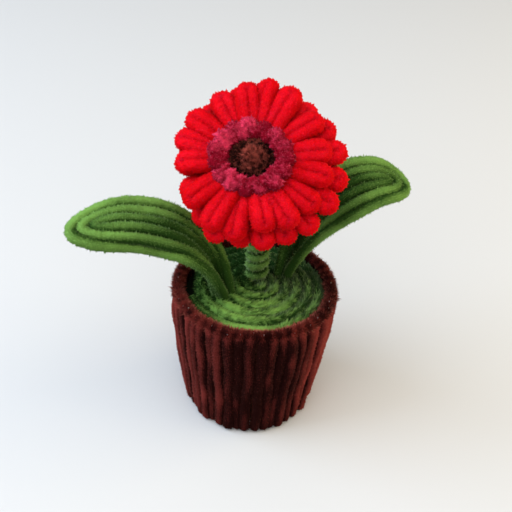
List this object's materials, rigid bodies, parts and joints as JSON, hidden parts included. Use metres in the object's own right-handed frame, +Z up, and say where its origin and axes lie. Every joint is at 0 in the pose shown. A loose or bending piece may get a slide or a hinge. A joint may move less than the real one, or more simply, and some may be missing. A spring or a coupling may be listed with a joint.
{
  "type": "chenille-stem potted gerbera",
  "caption": "Handmade gerbera in a pot, wound from fuzzy chenille stems: looped red petals, magenta ring, dark centre, two green leaves, ribbed brown pot.",
  "frame": {"origin": "middle of the pot's underside, on the surface that the pot stands on", "axes": "+Z up along the pot's axis; -Y is the side that the flower faces; +X is the flower's right as seen from the front"},
  "size_m": [0.1527, 0.08, 0.162],
  "materials": {
    "brown_chenille": "dark red-brown soft matt pile of short fibres round a wire core",
    "card": "matt brown card",
    "foam": "matt green floral foam",
    "moss_chenille": "dark moss green soft matt pile of short fibres round a wire core",
    "steel_wire": "plain bright wire",
    "stem_chenille": "light leaf green soft matt pile of short fibres round a wire core",
    "leaf_chenille": "leaf green soft matt pile of short fibres round a wire core",
    "red_chenille": "bright red soft matt pile of short fibres round a wire core",
    "magenta_chenille": "magenta red soft matt pile of short fibres round a wire core",
    "dark_chenille": "very dark brown soft matt pile of short fibres round a wire core"
  },
  "bodies": {
    "root": {"pot_wall": "brown_chenille", "base_disc": "card", "foam_fill": "foam", "moss_coil": "moss_chenille", "stem_wire": "steel_wire", "stem_wrap": "stem_chenille", "leaf_left": "leaf_chenille", "leaf_right": "leaf_chenille", "petals_back": "red_chenille", "petals_front": "red_chenille", "ring": "magenta_chenille", "centre": "dark_chenille"}
  },
  "joints": []
}
